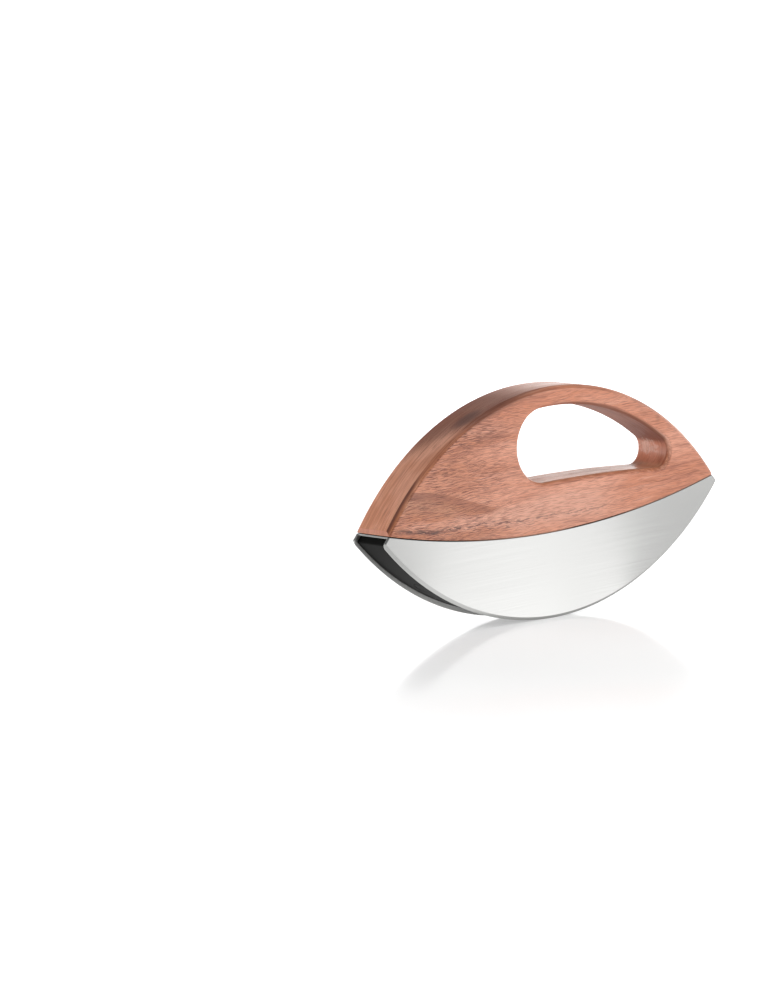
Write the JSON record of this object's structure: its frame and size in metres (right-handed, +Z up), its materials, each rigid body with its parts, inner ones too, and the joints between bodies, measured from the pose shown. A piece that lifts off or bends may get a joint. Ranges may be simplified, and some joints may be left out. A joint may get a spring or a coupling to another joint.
{
  "type": "mezzaluna",
  "caption": "Rocking herb knife: parallel crescent steel blades under an arched wooden handle with an off-centre grip opening.",
  "frame": {"origin": "under mid-length, midway between the side faces, at the lowest point of the cutting edges", "axes": "+X along the blades towards the narrow end of the grip opening, -Y out of the front face, +Z up to the crown of the handle"},
  "size_m": [0.2, 0.02, 0.0992],
  "materials": {
    "handle_wood": "oiled reddish-brown hardwood with fine dark pores along the blades",
    "blade_steel": "stainless steel brushed lengthwise, with a finer ground bevel",
    "core_plastic": "black moulded plastic, matt",
    "seal_rubber": "thin black sealing sheet, matt",
    "screw_steel": "plain stainless steel",
    "insert_brass": "turned brass"
  },
  "bodies": {
    "root": {"handle": "handle_wood", "blade_front": "blade_steel", "blade_rear": "blade_steel", "bridge_strip": "blade_steel", "blade_core": "core_plastic", "seam_seal": "seal_rubber", "screw_1": "screw_steel", "screw_2": "screw_steel", "screw_3": "screw_steel", "screw_4": "screw_steel", "threaded_insert_1": "insert_brass", "threaded_insert_2": "insert_brass", "threaded_insert_3": "insert_brass", "threaded_insert_4": "insert_brass", "screw_plug_1": "core_plastic", "screw_plug_2": "core_plastic", "screw_plug_3": "core_plastic", "screw_plug_4": "core_plastic"}
  },
  "joints": []
}
